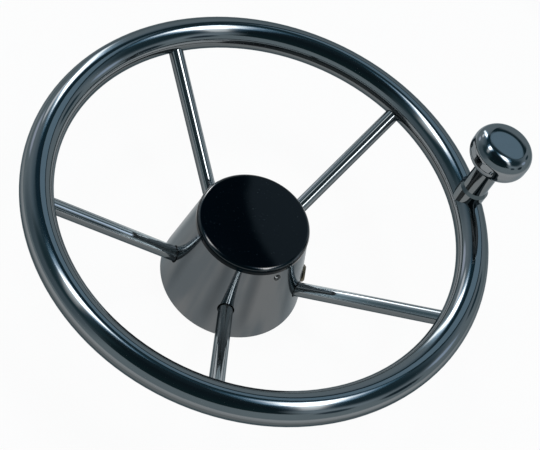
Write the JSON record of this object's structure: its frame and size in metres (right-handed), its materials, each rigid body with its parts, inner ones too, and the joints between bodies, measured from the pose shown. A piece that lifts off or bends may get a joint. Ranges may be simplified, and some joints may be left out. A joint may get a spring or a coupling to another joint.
{
  "type": "boat steering wheel",
  "caption": "Stainless steel boat steering wheel with a round tube rim, raked spokes, a conical hub with a black cap, and a turning knob on the rim.",
  "frame": {"origin": "centre of the hub's back edge, on the wheel's axis, where the helm shaft comes in", "axes": "+Z along the wheel's axis towards the person at the helm, +X towards the gap between two spokes that the knob stands at, +Y completes a right-handed set"},
  "size_m": [0.3579, 0.343, 0.1714],
  "materials": {
    "polished_steel": "mirror-polished stainless steel",
    "brushed_steel": "satin stainless steel, brushed across the cone",
    "turned_steel": "machined stainless steel",
    "screw_steel": "plain stainless steel",
    "black_plastic": "glossy black moulding",
    "bush_plastic": "natural acetal"
  },
  "bodies": {
    "wheel": {"rim_tube": "polished_steel", "spoke_1": "polished_steel", "spoke_2": "polished_steel", "spoke_3": "polished_steel", "spoke_4": "polished_steel", "spoke_5": "polished_steel", "hub_shell": "brushed_steel", "hub_back_plate": "brushed_steel", "hub_boss": "turned_steel", "shaft_washer": "turned_steel", "shaft_nut": "turned_steel", "centre_cap": "black_plastic", "cap_screw_1": "screw_steel", "cap_screw_2": "screw_steel", "hub_lock_screw": "screw_steel", "knob_post": "polished_steel", "knob_spindle": "polished_steel", "knob_thrust_washer": "screw_steel", "knob_circlip": "screw_steel"},
    "knob": {"knob_ball": "polished_steel", "knob_lower_bush": "bush_plastic", "knob_upper_bush": "bush_plastic"}
  },
  "joints": [
    {"name": "knob_spin", "type": "hinge", "parent": "wheel", "child": "knob", "pos_m": [0.15937, 0.00863, 0.096], "axis": [0.0697, 0.0038, 0.9976], "continuous": true}
  ]
}
